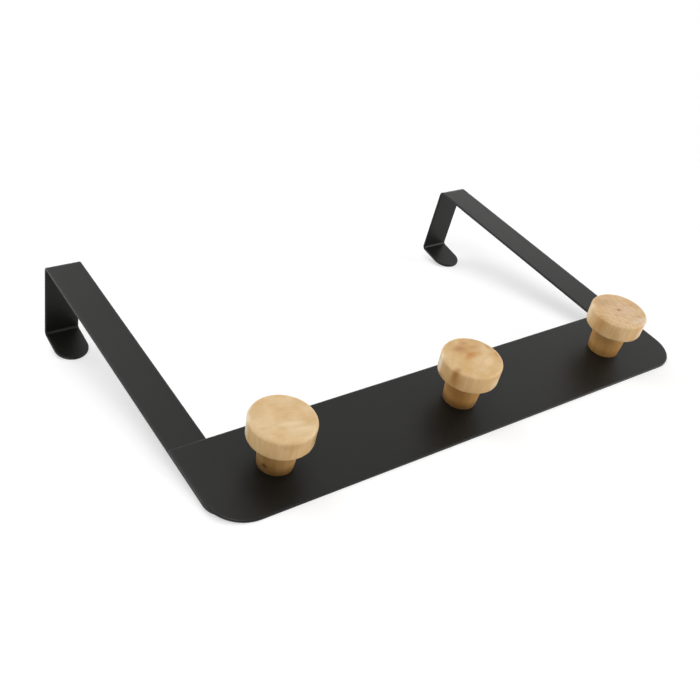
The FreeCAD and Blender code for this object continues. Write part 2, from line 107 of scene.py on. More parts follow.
def add_node(tree: bpy.types.NodeTree, kind: str, inputs: Optional[dict] = None,
             **settings: Any) -> bpy.types.Node:
    """Adds one node to a tree, with its settings, values and links.

    Args:
        tree: Tree that gets the node.
        kind: Blender's type name of the node.
        inputs: Name or number of an input, to a value or to the output that feeds it.
        **settings: Properties of the node itself.

    Returns:
        The new node.
    """
    node = tree.nodes.new(kind)
    for name, value in settings.items():
        setattr(node, name, value)
    for key, value in (inputs or {}).items():
        if isinstance(value, bpy.types.NodeSocket):
            tree.links.new(value, node.inputs[key])
        else:
            node.inputs[key].default_value = value
    return node


def new_material(name: str) -> tuple[bpy.types.Material, bpy.types.NodeTree]:
    """Starts an empty node material.

    Args:
        name: Name of the material.

    Returns:
        The material and its node tree.
    """
    material = bpy.data.materials.new(name)
    material.use_nodes = True
    material.node_tree.nodes.clear()
    return material, material.node_tree


@dataclass(frozen=True)
class PowderCoat:
    """Matt black polyester powder coat on blasted sheet steel.

    Sprayed as dry powder and baked, it flows into a closed skin with a fine grain and a faint orange peel.
    To the eye it is near black face on and turns charcoal grey where it is seen at a low angle.
    """

    name: str = "powder_coat"
    deep: str = "#0A0A08"
    worn: str = "#0E0E0B"
    # Where in the clouds the deep tone ends, and where the worn one is reached
    worn_range: tuple[float, float] = (0.35, 0.7)
    roughness: float = 0.38
    roughness_spread: float = 0.05
    ior: float = 1.31
    # The powder's real grain is about 0.05 mm. It is drawn ten times as coarse, so that it shows at all.
    grain_mm: float = 0.5
    grain_range: tuple[float, float] = (0.3, 0.7)
    grain_height_mm: float = 0.012
    peel_mm: float = 2.6
    peel_height_mm: float = 0.012
    cloud_mm: float = 38.0
    # The coat creeps back from an edge while it melts and leaves a soft bead about this wide
    bead_mm: float = 1.1
    bead_samples: int = 6

    def build(self) -> bpy.types.Material:
        """Builds the material.

        Returns:
            The coat.
        """
        material, tree = new_material(self.name)
        where = add_node(tree, "ShaderNodeTexCoord").outputs["Object"]
        cloud = add_node(tree, "ShaderNodeTexNoise", {
            "Vector": where, "Scale": 1 / (self.cloud_mm * MM), "Detail": 4.0, "Roughness": 0.6})
        grain = add_node(tree, "ShaderNodeTexNoise", {
            "Vector": where, "Scale": 1 / (self.grain_mm * MM), "Detail": 2.0, "Roughness": 0.55})
        peel = add_node(tree, "ShaderNodeTexNoise", {
            "Vector": where, "Scale": 1 / (self.peel_mm * MM), "Detail": 1.0, "Roughness": 0.4})
        worn = add_node(tree, "ShaderNodeMapRange", {
            "Value": cloud.outputs["Fac"], "From Min": self.worn_range[0], "From Max": self.worn_range[1]})
        tone = add_node(tree, "ShaderNodeMix", {
            "Factor": worn.outputs["Result"], MIX_FIRST: linear(self.deep), MIX_SECOND: linear(self.worn)},
            data_type="RGBA").outputs[MIX_RESULT]
        gloss = add_node(tree, "ShaderNodeMapRange", {
            "Value": grain.outputs["Fac"], "From Min": self.grain_range[0], "From Max": self.grain_range[1],
            "To Min": self.roughness - self.roughness_spread,
            "To Max": self.roughness + self.roughness_spread})
        bead = add_node(tree, "ShaderNodeBevel", {"Radius": self.bead_mm * MM}, samples=self.bead_samples)
        skin = add_node(tree, "ShaderNodeBump", {
            "Height": peel.outputs["Fac"], "Distance": self.peel_height_mm * MM, "Strength": 1.0,
            "Normal": bead.outputs["Normal"]})
        relief = add_node(tree, "ShaderNodeBump", {
            "Height": grain.outputs["Fac"], "Distance": self.grain_height_mm * MM, "Strength": 1.0,
            "Normal": skin.outputs["Normal"]})
        surface = add_node(tree, "ShaderNodeBsdfPrincipled", {
            "Base Color": tone, "Roughness": gloss.outputs["Result"], "IOR": self.ior,
            "Normal": relief.outputs["Normal"]})
        add_node(tree, "ShaderNodeOutputMaterial", {"Surface": surface.outputs["BSDF"]})
        return material


@dataclass(frozen=True)
class ZincPlate:
    """Bright zinc on a cold headed steel screw: a pale metal with a fine crystalline mottle."""

    name: str = "zinc_plated_steel"
    bright: str = "#C9CBC8"
    dull: str = "#A3A6A4"
    roughness_range: tuple[float, float] = (0.26, 0.44)
    mottle_mm: float = 0.8
    mottle_range: tuple[float, float] = (0.3, 0.7)
    mottle_height_mm: float = 0.01

    def build(self) -> bpy.types.Material:
        """Builds the material.

        Returns:
            The plating.
        """
        material, tree = new_material(self.name)
        where = add_node(tree, "ShaderNodeTexCoord").outputs["Object"]
        mottle = add_node(tree, "ShaderNodeTexNoise", {
            "Vector": where, "Scale": 1 / (self.mottle_mm * MM), "Detail": 3.0, "Roughness": 0.6})
        clear = add_node(tree, "ShaderNodeMapRange", {
            "Value": mottle.outputs["Fac"], "From Min": self.mottle_range[0],
            "From Max": self.mottle_range[1]})
        tone = add_node(tree, "ShaderNodeMix", {
            "Factor": clear.outputs["Result"], MIX_FIRST: linear(self.dull), MIX_SECOND: linear(self.bright)},
            data_type="RGBA").outputs[MIX_RESULT]
        gloss = add_node(tree, "ShaderNodeMapRange", {
            "Value": mottle.outputs["Fac"], "To Min": self.roughness_range[0],
            "To Max": self.roughness_range[1]})
        relief = add_node(tree, "ShaderNodeBump", {
            "Height": mottle.outputs["Fac"], "Distance": self.mottle_height_mm * MM, "Strength": 1.0})
        surface = add_node(tree, "ShaderNodeBsdfPrincipled", {
            "Base Color": tone, "Metallic": 1.0, "Roughness": gloss.outputs["Result"],
            "Normal": relief.outputs["Normal"]})
        add_node(tree, "ShaderNodeOutputMaterial", {"Surface": surface.outputs["BSDF"]})
        return material


@dataclass(frozen=True)
class Mark:
    """A knot, stain, fleck, pale patch or painted sheen at one place on a knob, in the knob's own frame."""

    at_mm: tuple[float, float, float]
    size_mm: tuple[float, float, float]
    colour: str
    strength: float
    turn_deg: float = 0.0
    # How uneven its edge is, and over what share of the way out it fades
    ragged: float = 0.6
    soft: float = 0.9


@dataclass(frozen=True)
class TurnedBeech:
    """Pale hardwood turned on a lathe, under a thin matt lacquer.

    The top shows soft growth rings and fine flecks of the pores. The sides show the same rings as stripes.
    Under the head the neck is darker as painted shade, and darkest at its foot, against the plate.
    """

    name: str
    pale: str = "#D8B98B"
    warm: str = "#CCA66E"
    ring: str = "#C3955B"
    fleck: str = "#A87A48"
    stripe: str = "#B98B52"
    # The side is tinted a little yellower, and the neck and its foot are darker as painted shade
    side: str = "#FFFDF2"
    neck: str = "#EFDBB8"
    foot: str = "#A8A296"
    # Clouds of the pale tone in the warm one, and where in them it sets in and is reached
    cloud_mm: float = 11.0
    pale_range: tuple[float, float] = (0.34, 0.62)
    # Fine fibres along the axis make the lacquer's gloss uneven
    fibre_mm: float = 0.4
    fibre_height_mm: float = 0.02
    roughness: float = 0.52
    roughness_spread: float = 0.08
    ior: float = 1.45
    # Width of a growth ring, and where the tree's middle lies beside the knob
    ring_mm: float = 3.2
    pith_mm: tuple[float, float] = (38.0, 22.0)
    ring_strength: float = 0.5
    # A ring darkens by this power of the way out to its late wood
    ring_power: float = 3.0
    # How far the rings wander, over what length, and how large the places are where they show
    ring_wander_mm: float = 3.0
    ring_wave_mm: float = 9.0
    ring_place_mm: float = 7.0
    ring_place_range: tuple[float, float] = (0.4, 0.62)
    # Beech pores are about 0.1 mm. They are drawn as flecks of this width, so that they show at all.
    fleck_mm: float = 0.4
    fleck_length_mm: float = 3.0
    fleck_turn_deg: float = 30.0
    fleck_range: tuple[float, float] = (0.5, 0.72)
    fleck_strength: float = 0.4
    fleck_on_side: float = 0.25
    # Cut along the grain, the side shows the rings as stripes of about this width
    stripe_mm: float = 1.5
    stripe_range: tuple[float, float] = (0.46, 0.66)
    stripe_strength: float = 0.3
    # Waves in a mark's edge, across the mark
    mark_waves: float = 1.6
    # Depths under the top face between which the flecks turn into stripes, and the side's tone sets in
    stripe_depth_mm: tuple[float, float] = (0.4, 1.6)
    side_depth_mm: tuple[float, float] = (0.4, 2.4)
    neck_fade_mm: float = 0.6
    # Painted shade where the neck meets the plate: the foot darkens between these heights
    foot_mm: tuple[float, float] = (6.5, 0.4)
    seed: float = 0.0
    marks: tuple[Mark, ...] = field(default_factory=tuple)

    def build(self) -> bpy.types.Material:
        """Builds the material.

        Returns:
            The lacquered wood.
        """
        material, tree = new_material(self.name)
        place = add_node(tree, "ShaderNodeTexCoord").outputs["Object"]
        cloud = add_node(tree, "ShaderNodeMapRange", {
            "Value": self.figure(tree, place, self.cloud_mm, along=0.35, detail=3.0),
            "From Min": self.pale_range[0], "From Max": self.pale_range[1]})
        colour = add_node(tree, "ShaderNodeMix", {
            "Factor": cloud.outputs["Result"], MIX_FIRST: linear(self.warm), MIX_SECOND: linear(self.pale)},
            data_type="RGBA").outputs[MIX_RESULT]
        layers = [(self.growth_rings(tree, place), self.ring)]
        layers += [(self.patch(tree, place, mark), mark.colour) for mark in self.marks]
        layers += [(self.flecks(tree, place), self.fleck), (self.stripes(tree, place), self.stripe)]
        for weight, tone in layers:
            colour = add_node(tree, "ShaderNodeMix", {
                "Factor": weight, MIX_FIRST: colour, MIX_SECOND: linear(tone)},
                data_type="RGBA").outputs[MIX_RESULT]
        fibre = self.figure(tree, place, self.fibre_mm, along=0.08, detail=2.0)
        gloss = add_node(tree, "ShaderNodeMapRange", {
            "Value": fibre, "To Min": self.roughness - self.roughness_spread,
            "To Max": self.roughness + self.roughness_spread})
        relief = add_node(tree, "ShaderNodeBump", {
            "Height": fibre, "Distance": self.fibre_height_mm * MM, "Strength": 1.0})
        surface = add_node(tree, "ShaderNodeBsdfPrincipled", {
            "Base Color": self.darkened(tree, place, colour), "Roughness": gloss.outputs["Result"],
            "IOR": self.ior, "Normal": relief.outputs["Normal"]})
        add_node(tree, "ShaderNodeOutputMaterial", {"Surface": surface.outputs["BSDF"]})
        return material

    def figure(self, tree: bpy.types.NodeTree, place: bpy.types.NodeSocket, size_mm: float,
               along: float, detail: float) -> bpy.types.NodeSocket:
        """Draws soft figure in the wood, moved by the seed so that no two knobs are alike.

        Args:
            tree: Tree that gets the nodes.
            place: Place in the knob's frame.
            size_mm: Size of the pattern across the grain.
            along: Scale along the axis; below 1 draws the pattern out.
            detail: Octaves of finer detail.

        Returns:
            The figure, around 0.5.
        """
        moved = add_node(tree, "ShaderNodeMapping", {
            "Vector": place, "Location": (self.seed, self.seed * 0.7, self.seed * 0.3),
            "Scale": (1.0, 1.0, along)})
        return add_node(tree, "ShaderNodeTexNoise", {
            "Vector": moved.outputs["Vector"], "Scale": 1 / (size_mm * MM), "Detail": detail,
            "Roughness": 0.55}).outputs["Fac"]

    def by_rim(self, tree: bpy.types.NodeTree, place: bpy.types.NodeSocket, on_side: float,
               on_top: float) -> bpy.types.NodeSocket:
        """Gives one strength on the side and another on the top face, with a soft change at the rim.

        Args:
            tree: Tree that gets the nodes.
            place: Place in the knob's frame.
            on_side: Strength on the side.
            on_top: Strength on the top face.

        Returns:
            The strength.
        """
        height = add_node(tree, "ShaderNodeSeparateXYZ", {0: place}).outputs["Z"]
        near, far = self.stripe_depth_mm
        return add_node(tree, "ShaderNodeMapRange", {
            "Value": height, "From Min": (TOP - far) * MM, "From Max": (TOP - near) * MM,
            "To Min": on_side, "To Max": on_top}).outputs["Result"]

    def growth_rings(self, tree: bpy.types.NodeTree, place: bpy.types.NodeSocket) -> bpy.types.NodeSocket:
        """Draws the growth rings about a pith that lies beside the knob.

        Args:
            tree: Tree that gets the nodes.
            place: Place in the knob's frame.

        Returns:
            Strength of the late wood, from 0 to the ring strength.
        """
        pith = (-self.pith_mm[0] * MM, -self.pith_mm[1] * MM, 0.0)
        moved = add_node(tree, "ShaderNodeVectorMath", {0: place, 1: pith}, operation="ADD")
        flat = add_node(tree, "ShaderNodeVectorMath", {
            0: moved.outputs["Vector"], 1: (1.0, 1.0, 0.0)}, operation="MULTIPLY")
        radius = add_node(tree, "ShaderNodeVectorMath", {0: flat.outputs["Vector"]}, operation="LENGTH")
        wander = self.figure(tree, place, self.ring_wave_mm, along=0.3, detail=2.0)
        turns = add_node(tree, "ShaderNodeMath", {
            0: radius.outputs["Value"], 1: 1 / (self.ring_mm * MM)}, operation="MULTIPLY")
        bent = add_node(tree, "ShaderNodeMath", {
            0: wander, 1: 2 * self.ring_wander_mm / self.ring_mm, 2: turns.outputs["Value"]},
            operation="MULTIPLY_ADD")
        saw = add_node(tree, "ShaderNodeMath", {0: bent.outputs["Value"]}, operation="FRACT")
        late = add_node(tree, "ShaderNodeMath", {
            0: saw.outputs["Value"], 1: self.ring_power}, operation="POWER")
        weight = add_node(tree, "ShaderNodeMapRange", {
            "Value": self.figure(tree, place, self.ring_place_mm, along=0.3, detail=1.0),
            "From Min": self.ring_place_range[0], "From Max": self.ring_place_range[1],
            "To Min": 0.0, "To Max": self.ring_strength})
        return add_node(tree, "ShaderNodeMath", {
            0: late.outputs["Value"], 1: weight.outputs["Result"]}, operation="MULTIPLY").outputs["Value"]

    def flecks(self, tree: bpy.types.NodeTree, place: bpy.types.NodeSocket) -> bpy.types.NodeSocket:
        """Draws the pores and rays as short fine dashes, all in one direction on the top.

        Args:
            tree: Tree that gets the nodes.
            place: Place in the knob's frame.

        Returns:
            Strength of the flecks, from 0 to the fleck strength.
        """
        turned = add_node(tree, "ShaderNodeMapping", {
            "Vector": place, "Rotation": (0.0, 0.0, -math.radians(self.fleck_turn_deg))})
        long, fine = 1 / (self.fleck_length_mm * MM), 1 / (self.fleck_mm * MM)
        drawn = add_node(tree, "ShaderNodeMapping", {
            "Vector": turned.outputs["Vector"], "Location": (self.seed, 0.0, 0.0),
            "Scale": (long, fine, long)})
        dashes = add_node(tree, "ShaderNodeTexNoise", {
            "Vector": drawn.outputs["Vector"], "Scale": 1.0, "Detail": 1.5, "Roughness": 0.5})
        # The pores' open ends show on the top, and on the sides they are nearly lost in the stripes
        share = self.by_rim(tree, place, self.fleck_on_side * self.fleck_strength, self.fleck_strength)
        return add_node(tree, "ShaderNodeMapRange", {
            "Value": dashes.outputs["Fac"], "From Min": self.fleck_range[0], "From Max": self.fleck_range[1],
            "To Min": 0.0, "To Max": share}).outputs["Result"]

    def stripes(self, tree: bpy.types.NodeTree, place: bpy.types.NodeSocket) -> bpy.types.NodeSocket:
        """Draws the stripes of long grain that run up the sides of the head and the neck.

        Args:
            tree: Tree that gets the nodes.
            place: Place in the knob's frame.

        Returns:
            Strength of the stripes, from 0 to the stripe strength.
        """
        return add_node(tree, "ShaderNodeMapRange", {
            "Value": self.figure(tree, place, self.stripe_mm, along=0.07, detail=2.0),
            "From Min": self.stripe_range[0], "From Max": self.stripe_range[1],
            "To Min": 0.0, "To Max": self.by_rim(tree, place, self.stripe_strength, 0.0)}).outputs["Result"]

    def patch(self, tree: bpy.types.NodeTree, place: bpy.types.NodeSocket,
              mark: Mark) -> bpy.types.NodeSocket:
        """Outlines one mark with a soft ragged edge.

        Args:
            tree: Tree that gets the nodes.
            place: Place in the knob's frame.
            mark: The mark.

        Returns:
            Share of the mark's colour.
        """
        moved = add_node(tree, "ShaderNodeVectorMath", {
            0: place, 1: tuple(-value * MM for value in mark.at_mm)}, operation="ADD")
        turned = add_node(tree, "ShaderNodeMapping", {
            "Vector": moved.outputs["Vector"], "Rotation": (0.0, 0.0, -math.radians(mark.turn_deg))})
        scaled = add_node(tree, "ShaderNodeVectorMath", {
            0: turned.outputs["Vector"], 1: tuple(1 / (value * MM) for value in mark.size_mm)},
            operation="MULTIPLY")
        distance = add_node(tree, "ShaderNodeVectorMath", {0: scaled.outputs["Vector"]}, operation="LENGTH")
        edge = add_node(tree, "ShaderNodeTexNoise", {
            "Vector": scaled.outputs["Vector"], "Scale": self.mark_waves, "Detail": 3.0, "Roughness": 0.6})
        uneven = add_node(tree, "ShaderNodeMath", {
            0: edge.outputs["Fac"], 1: mark.ragged, 2: distance.outputs["Value"]}, operation="MULTIPLY_ADD")
        rim = 1.0 + mark.ragged / 2
        return add_node(tree, "ShaderNodeMapRange", {
            "Value": uneven.outputs["Value"], "From Min": rim, "From Max": rim - mark.soft,
            "To Min": 0.0, "To Max": mark.strength}, interpolation_type="SMOOTHSTEP").outputs["Result"]

    def darkened(self, tree: bpy.types.NodeTree, place: bpy.types.NodeSocket,
                 colour: bpy.types.NodeSocket) -> bpy.types.NodeSocket:
        """Darkens the wood by height: a little on the side, and with painted shade on the neck and its foot.

        Args:
            tree: Tree that gets the nodes.
            place: Place in the knob's frame.
            colour: Colour so far.

        Returns:
            The darkened colour.
        """
        height = add_node(tree, "ShaderNodeSeparateXYZ", {0: place}).outputs["Z"]
        near, far = self.side_depth_mm
        # Each tone sets in at the first height and is full at the second one
        # The neck's tone is painted shade under the head, and the foot's is painted shade at the plate
        tones = (
            (self.side, TOP - near, TOP - far),
            (self.neck, NECK + self.neck_fade_mm, NECK - self.neck_fade_mm),
            (self.foot, *self.foot_mm),
        )
        for tone, start_mm, full_mm in tones:
            weight = add_node(tree, "ShaderNodeMapRange", {
                "Value": height, "From Min": start_mm * MM, "From Max": full_mm * MM},
                interpolation_type="SMOOTHSTEP").outputs["Result"]
            colour = add_node(tree, "ShaderNodeMix", {
                "Factor": weight, MIX_FIRST: colour, MIX_SECOND: linear(tone)},
                data_type="RGBA", blend_type="MULTIPLY").outputs[MIX_RESULT]
        return colour


@dataclass
class PackedPiece:
    """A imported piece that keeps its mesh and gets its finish."""

    node: Part
    finish: PowderCoat | ZincPlate

    def dress(self, frame: dict) -> bpy.types.Object:
        """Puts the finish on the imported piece.


        Returns:
            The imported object.
        """
        piece = frame["nodes"][self.node.value]
        material = self.finish.build()
        for slot in piece.material_slots:
            slot.material = material
        return piece


@dataclass
class Knob:
    """One turned knob, standing on the tilted plate, made by turning a profile about its axis."""

    node: Part
    wood: TurnedBeech
    seat_mm: tuple[float, float, float]
    tilt_deg: float
    head_top_mm: float = 15.8
    head_low_mm: float = 15.55
    top_round_mm: float = 1.8
    low_round_mm: float = 1.3
    neck_top_mm: float = 9.9
    neck_low_mm: float = 8.7
    cove_mm: float = 1.0
    hole_mm: float = 2.05
    hole_depth_mm: float = 17.0
    # The drill's point leaves a cone that slopes this much
    drill_slope_deg: float = 31.0
    # Rings on the flat top, so that its shading stays even
    top_rings_mm: tuple[float, ...] = (10.0, 5.0, 2.0)
    # A lathe's centre leaves this small dimple in the top
    centre_mark_mm: float = 0.45
    centre_depth_mm: float = 0.25
    segments: int = 160
    round_steps: int = 8
    # Edges that turn by more than this are drawn sharp
    sharp_deg: float = 40.0

    def corner(self, before: Vector, at: Vector, after: Vector, radius: float) -> list[Vector]:
        """Rounds one corner of the profile.

        Args:
            before: Point before the corner.
            at: The corner.
            after: Point after the corner.
            radius: Radius of the rounding, in millimetres.

        Returns:
            Points of the rounding, from the side of before to the side of after.
        """
        first = (before - at).normalized()
        second = (after - at).normalized()
        half = first.angle(second) / 2
        centre = at + (first + second).normalized() * (radius / math.sin(half))
        start = at + first * (radius / math.tan(half)) - centre
        end = at + second * (radius / math.tan(half)) - centre
        sweep = start.angle(end)
        points = []
        for step in range(self.round_steps + 1):
            share = step / self.round_steps
            ahead = math.sin(share * sweep) / math.sin(sweep)
            behind = math.sin((1 - share) * sweep) / math.sin(sweep)
            points.append(centre + start * behind + end * ahead)
        return points

    def profile(self) -> list[Vector]:
        """Draws half the section, from the tip of the screw's hole out and round to the top's middle.

        Returns:
            Points as distance from the axis and height over the seat, in millimetres.
        """
        tip = self.hole_depth_mm + self.hole_mm * math.tan(math.radians(self.drill_slope_deg))
        seat = Vector((self.neck_low_mm, 0.0))
        neck = Vector((self.neck_top_mm, NECK))
        low_rim = Vector((self.head_low_mm, NECK))
        top_rim = Vector((self.head_top_mm, TOP))
        middle = Vector((0.0, TOP))
        points = [Vector((0.0, tip)), Vector((self.hole_mm, self.hole_depth_mm)), Vector((self.hole_mm, 0.0))]
        points.append(seat)
        points += self.corner(seat, neck, low_rim, self.cove_mm)
        points += self.corner(neck, low_rim, top_rim, self.low_round_mm)
        points += self.corner(low_rim, top_rim, middle, self.top_round_mm)
        points += [Vector((radius, TOP)) for radius in (*self.top_rings_mm, self.centre_mark_mm)]
        points.append(Vector((0.0, TOP - self.centre_depth_mm)))
        return points

    def build(self) -> bpy.types.Object:
        """Turns the profile into a closed mesh and stands it on the plate.

        Returns:
            The knob.
        """
        profile = self.profile()
        verts = [(0.0, 0.0, profile[0].y * MM)]
        for point in profile[1:-1]:
            for step in range(self.segments):
                angle = 2 * math.pi * step / self.segments
                verts.append((point.x * MM * math.cos(angle), point.x * MM * math.sin(angle), point.y * MM))
        verts.append((0.0, 0.0, profile[-1].y * MM))
        faces = []
        rings = len(profile) - 2
        last = len(verts) - 1
        for step in range(self.segments):
            after = (step + 1) % self.segments
            faces.append((0, 1 + step, 1 + after))
            for ring in range(rings - 1):
                low = 1 + ring * self.segments
                high = low + self.segments
                faces.append((low + after, low + step, high + step, high + after))
            top = 1 + (rings - 1) * self.segments
            faces.append((top + after, top + step, last))
        mesh = bpy.data.meshes.new(f"turned_{self.node.value}")
        mesh.from_pydata(verts, [], faces)
        mesh.update()
        mesh.shade_smooth()
        mesh.set_sharp_from_angle(angle=math.radians(self.sharp_deg))
        piece = bpy.data.objects.new(f"turned_{self.node.value}", mesh)
        piece.matrix_world = Matrix.Translation(Vector(self.seat_mm) * MM) @ Matrix.Rotation(
            math.radians(self.tilt_deg), 4, "X")
        bpy.context.scene.collection.objects.link(piece)
        mesh.materials.append(self.wood.build())
        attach(piece, "root")
        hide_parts(self.node.value)
        return piece


@dataclass(frozen=True)
class Lamp:
    """One soft lamp, placed by the way it shines from."""

    name: str
    azimuth_deg: float
    elevation_deg: float
    # Sizes and distance are in metres, and the power is in watts
    wide: float
    high: float
    power: float
    distance: float = 1.4

    def build(self) -> bpy.types.Object:
        """Hangs the lamp so that it faces the hook, unseen by the camera.

        Returns:
            The lamp.
        """
        data = bpy.data.lights.new(self.name, "AREA")
        data.shape = "RECTANGLE"
        data.size = self.wide
        data.size_y = self.high
        data.energy = self.power
        turn = math.radians(self.azimuth_deg)
        rise = math.radians(self.elevation_deg)
        way = Vector((math.cos(rise) * math.cos(turn), math.cos(rise) * math.sin(turn), math.sin(rise)))
        lamp = bpy.data.objects.new(self.name, data)
        lamp.location = way * self.distance
        lamp.rotation_euler = (-way).to_track_quat("-Z", "Y").to_euler()
        lamp.visible_camera = False
        bpy.context.scene.collection.objects.link(lamp)
        return lamp


@dataclass
class Studio:
    """White table, three soft boxes above it, and a low bright backdrop on every side but the camera's."""

    lamps: tuple[Lamp, ...] = (
        Lamp("soft_box_front", 232.0, 50.0, 0.6, 0.6, 9.7),
        Lamp("soft_box_top", 180.0, 86.0, 0.7, 0.7, 3.6),
        Lamp("soft_box_back_left", 110.0, 60.0, 0.7, 0.7, 4.6),
        Lamp("backdrop_back", 48.0, 12.0, 1.2, 0.5, 6.2),
        Lamp("backdrop_back_left", 100.0, 12.0, 1.1, 0.5, 6.6),
        Lamp("backdrop_left", 150.0, 14.0, 1.1, 0.5, 4.0),
        Lamp("backdrop_right", -42.0, 12.0, 1.1, 0.5, 11.4),
    )
    sky: float = 0.01
    floor_size: float = 8.0
    # The table throws back most of the light that falls on it
    floor_colour: str = "#F6F6F6"
    # To the eye it is white, and the hook's shadow takes up to this share away
    shadow_share: float = 0.52
    # By the hook, its own white and the light on it add up to this, so that the faintest shadows stay white
    white_level: float = 1.05
    # The shadow's share ends between these distances from the middle
    shadow_reach_mm: tuple[float, float] = (260.0, 620.0)
    # The camera's place, and the ways its right and its top point, fitted to the straight edges of the hook
    camera_at_mm: tuple[float, float, float] = (-292.9844, -386.3808, 234.5793)
    camera_right: tuple[float, float, float] = (0.8135461, -0.5810647, 0.0225065)
    camera_up: tuple[float, float, float] = (0.2343711, 0.3630717, 0.9018032)
    lens_mm: float = 47.76682
    sensor_mm: float = 36.0
    clip_m: tuple[float, float] = (0.01, 20.0)

    def seen_directly(self, tree: bpy.types.NodeTree) -> bpy.types.NodeSocket:
        """Tells whether the camera sees a surface, straight on or in a reflection.

        Args:
            tree: Tree that gets the nodes.

        Returns:
            1 for a ray from the camera, a reflection or a refraction, and 0 for one that carries light.
        """
        path = add_node(tree, "ShaderNodeLightPath")
        either = add_node(tree, "ShaderNodeMath", {
            0: path.outputs["Is Camera Ray"], 1: path.outputs["Is Glossy Ray"]}, operation="ADD")
        return add_node(tree, "ShaderNodeMath", {
            0: either.outputs["Value"], 1: path.outputs["Is Transmission Ray"]},
            operation="ADD", use_clamp=True).outputs["Value"]

    def build_floor(self) -> bpy.types.Object:
        """Lays the white table under the hook.

        Returns:
            The floor.
        """
        half = self.floor_size / 2
        mesh = bpy.data.meshes.new("floor")
        corners = [(-half, -half, 0), (half, -half, 0), (half, half, 0), (-half, half, 0)]
        mesh.from_pydata(corners, [], [(0, 1, 2, 3)])
        floor = bpy.data.objects.new("floor", mesh)
        bpy.context.scene.collection.objects.link(floor)
        material, tree = new_material("white_table")
        carried = add_node(tree, "ShaderNodeBsdfDiffuse", {"Color": linear(self.floor_colour)})
        # Near the hook the eye sees the light that falls there, and further off it sees plain white
        place = add_node(tree, "ShaderNodeTexCoord").outputs["Object"]
        reach = add_node(tree, "ShaderNodeVectorMath", {0: place}, operation="LENGTH")
        near, far = self.shadow_reach_mm
        share = add_node(tree, "ShaderNodeMapRange", {
            "Value": reach.outputs["Value"], "From Min": near * MM, "From Max": far * MM,
            "To Min": self.shadow_share, "To Max": 0.0}, interpolation_type="SMOOTHSTEP").outputs["Result"]
        rest = add_node(tree, "ShaderNodeMath", {
            0: self.white_level, 1: share}, operation="SUBTRACT", use_clamp=True).outputs["Value"]
        shaded = add_node(tree, "ShaderNodeBsdfDiffuse", {"Color": share})
        white = add_node(tree, "ShaderNodeEmission", {"Color": (1, 1, 1, 1), "Strength": rest})
        seen = add_node(tree, "ShaderNodeAddShader", {
            0: shaded.outputs["BSDF"], 1: white.outputs["Emission"]})
        both = add_node(tree, "ShaderNodeMixShader", {
            "Fac": self.seen_directly(tree), 1: carried.outputs["BSDF"], 2: seen.outputs["Shader"]})
        add_node(tree, "ShaderNodeOutputMaterial", {"Surface": both.outputs["Shader"]})
        mesh.materials.append(material)
        return floor

    def build_sky(self) -> None:
        """Lights the hook a little from all round, and shows white where the floor ends."""
        world = bpy.data.worlds.new("studio")
        world.use_nodes = True
        tree = world.node_tree
        tree.nodes.clear()
        light = add_node(tree, "ShaderNodeBackground", {"Color": (1, 1, 1, 1), "Strength": self.sky})
        white = add_node(tree, "ShaderNodeBackground", {"Color": (1, 1, 1, 1), "Strength": 1.0})
        both = add_node(tree, "ShaderNodeMixShader", {
            "Fac": self.seen_directly(tree), 1: light.outputs["Background"], 2: white.outputs["Background"]})
        add_node(tree, "ShaderNodeOutputWorld", {"Surface": both.outputs["Shader"]})
        bpy.context.scene.world = world

    def build_camera(self) -> bpy.types.Object:
        """Sets up the camera that was fitted to the straight edges in the photograph.

        Returns:
            The camera.
        """
        data = bpy.data.cameras.new("camera")
        data.lens = self.lens_mm
        data.sensor_width = self.sensor_mm
        data.sensor_fit = "HORIZONTAL"
        data.clip_start, data.clip_end = self.clip_m
        camera = bpy.data.objects.new("camera", data)
        right = Vector(self.camera_right).normalized()
        up = Vector(self.camera_up)
        up = (up - right * up.dot(right)).normalized()
        back = right.cross(up)
        turn = Matrix((right, up, back)).transposed().to_4x4()
        camera.matrix_world = Matrix.Translation(Vector(self.camera_at_mm) * MM) @ turn
        bpy.context.scene.collection.objects.link(camera)
        bpy.context.scene.camera = camera
        return camera

    def build(self) -> None:
        """Builds the floor, the light and the camera."""
        bpy.context.scene.view_settings.view_transform = "Standard"
        self.build_floor()
        self.build_sky()
        for lamp in self.lamps:
            lamp.build()
        self.build_camera()


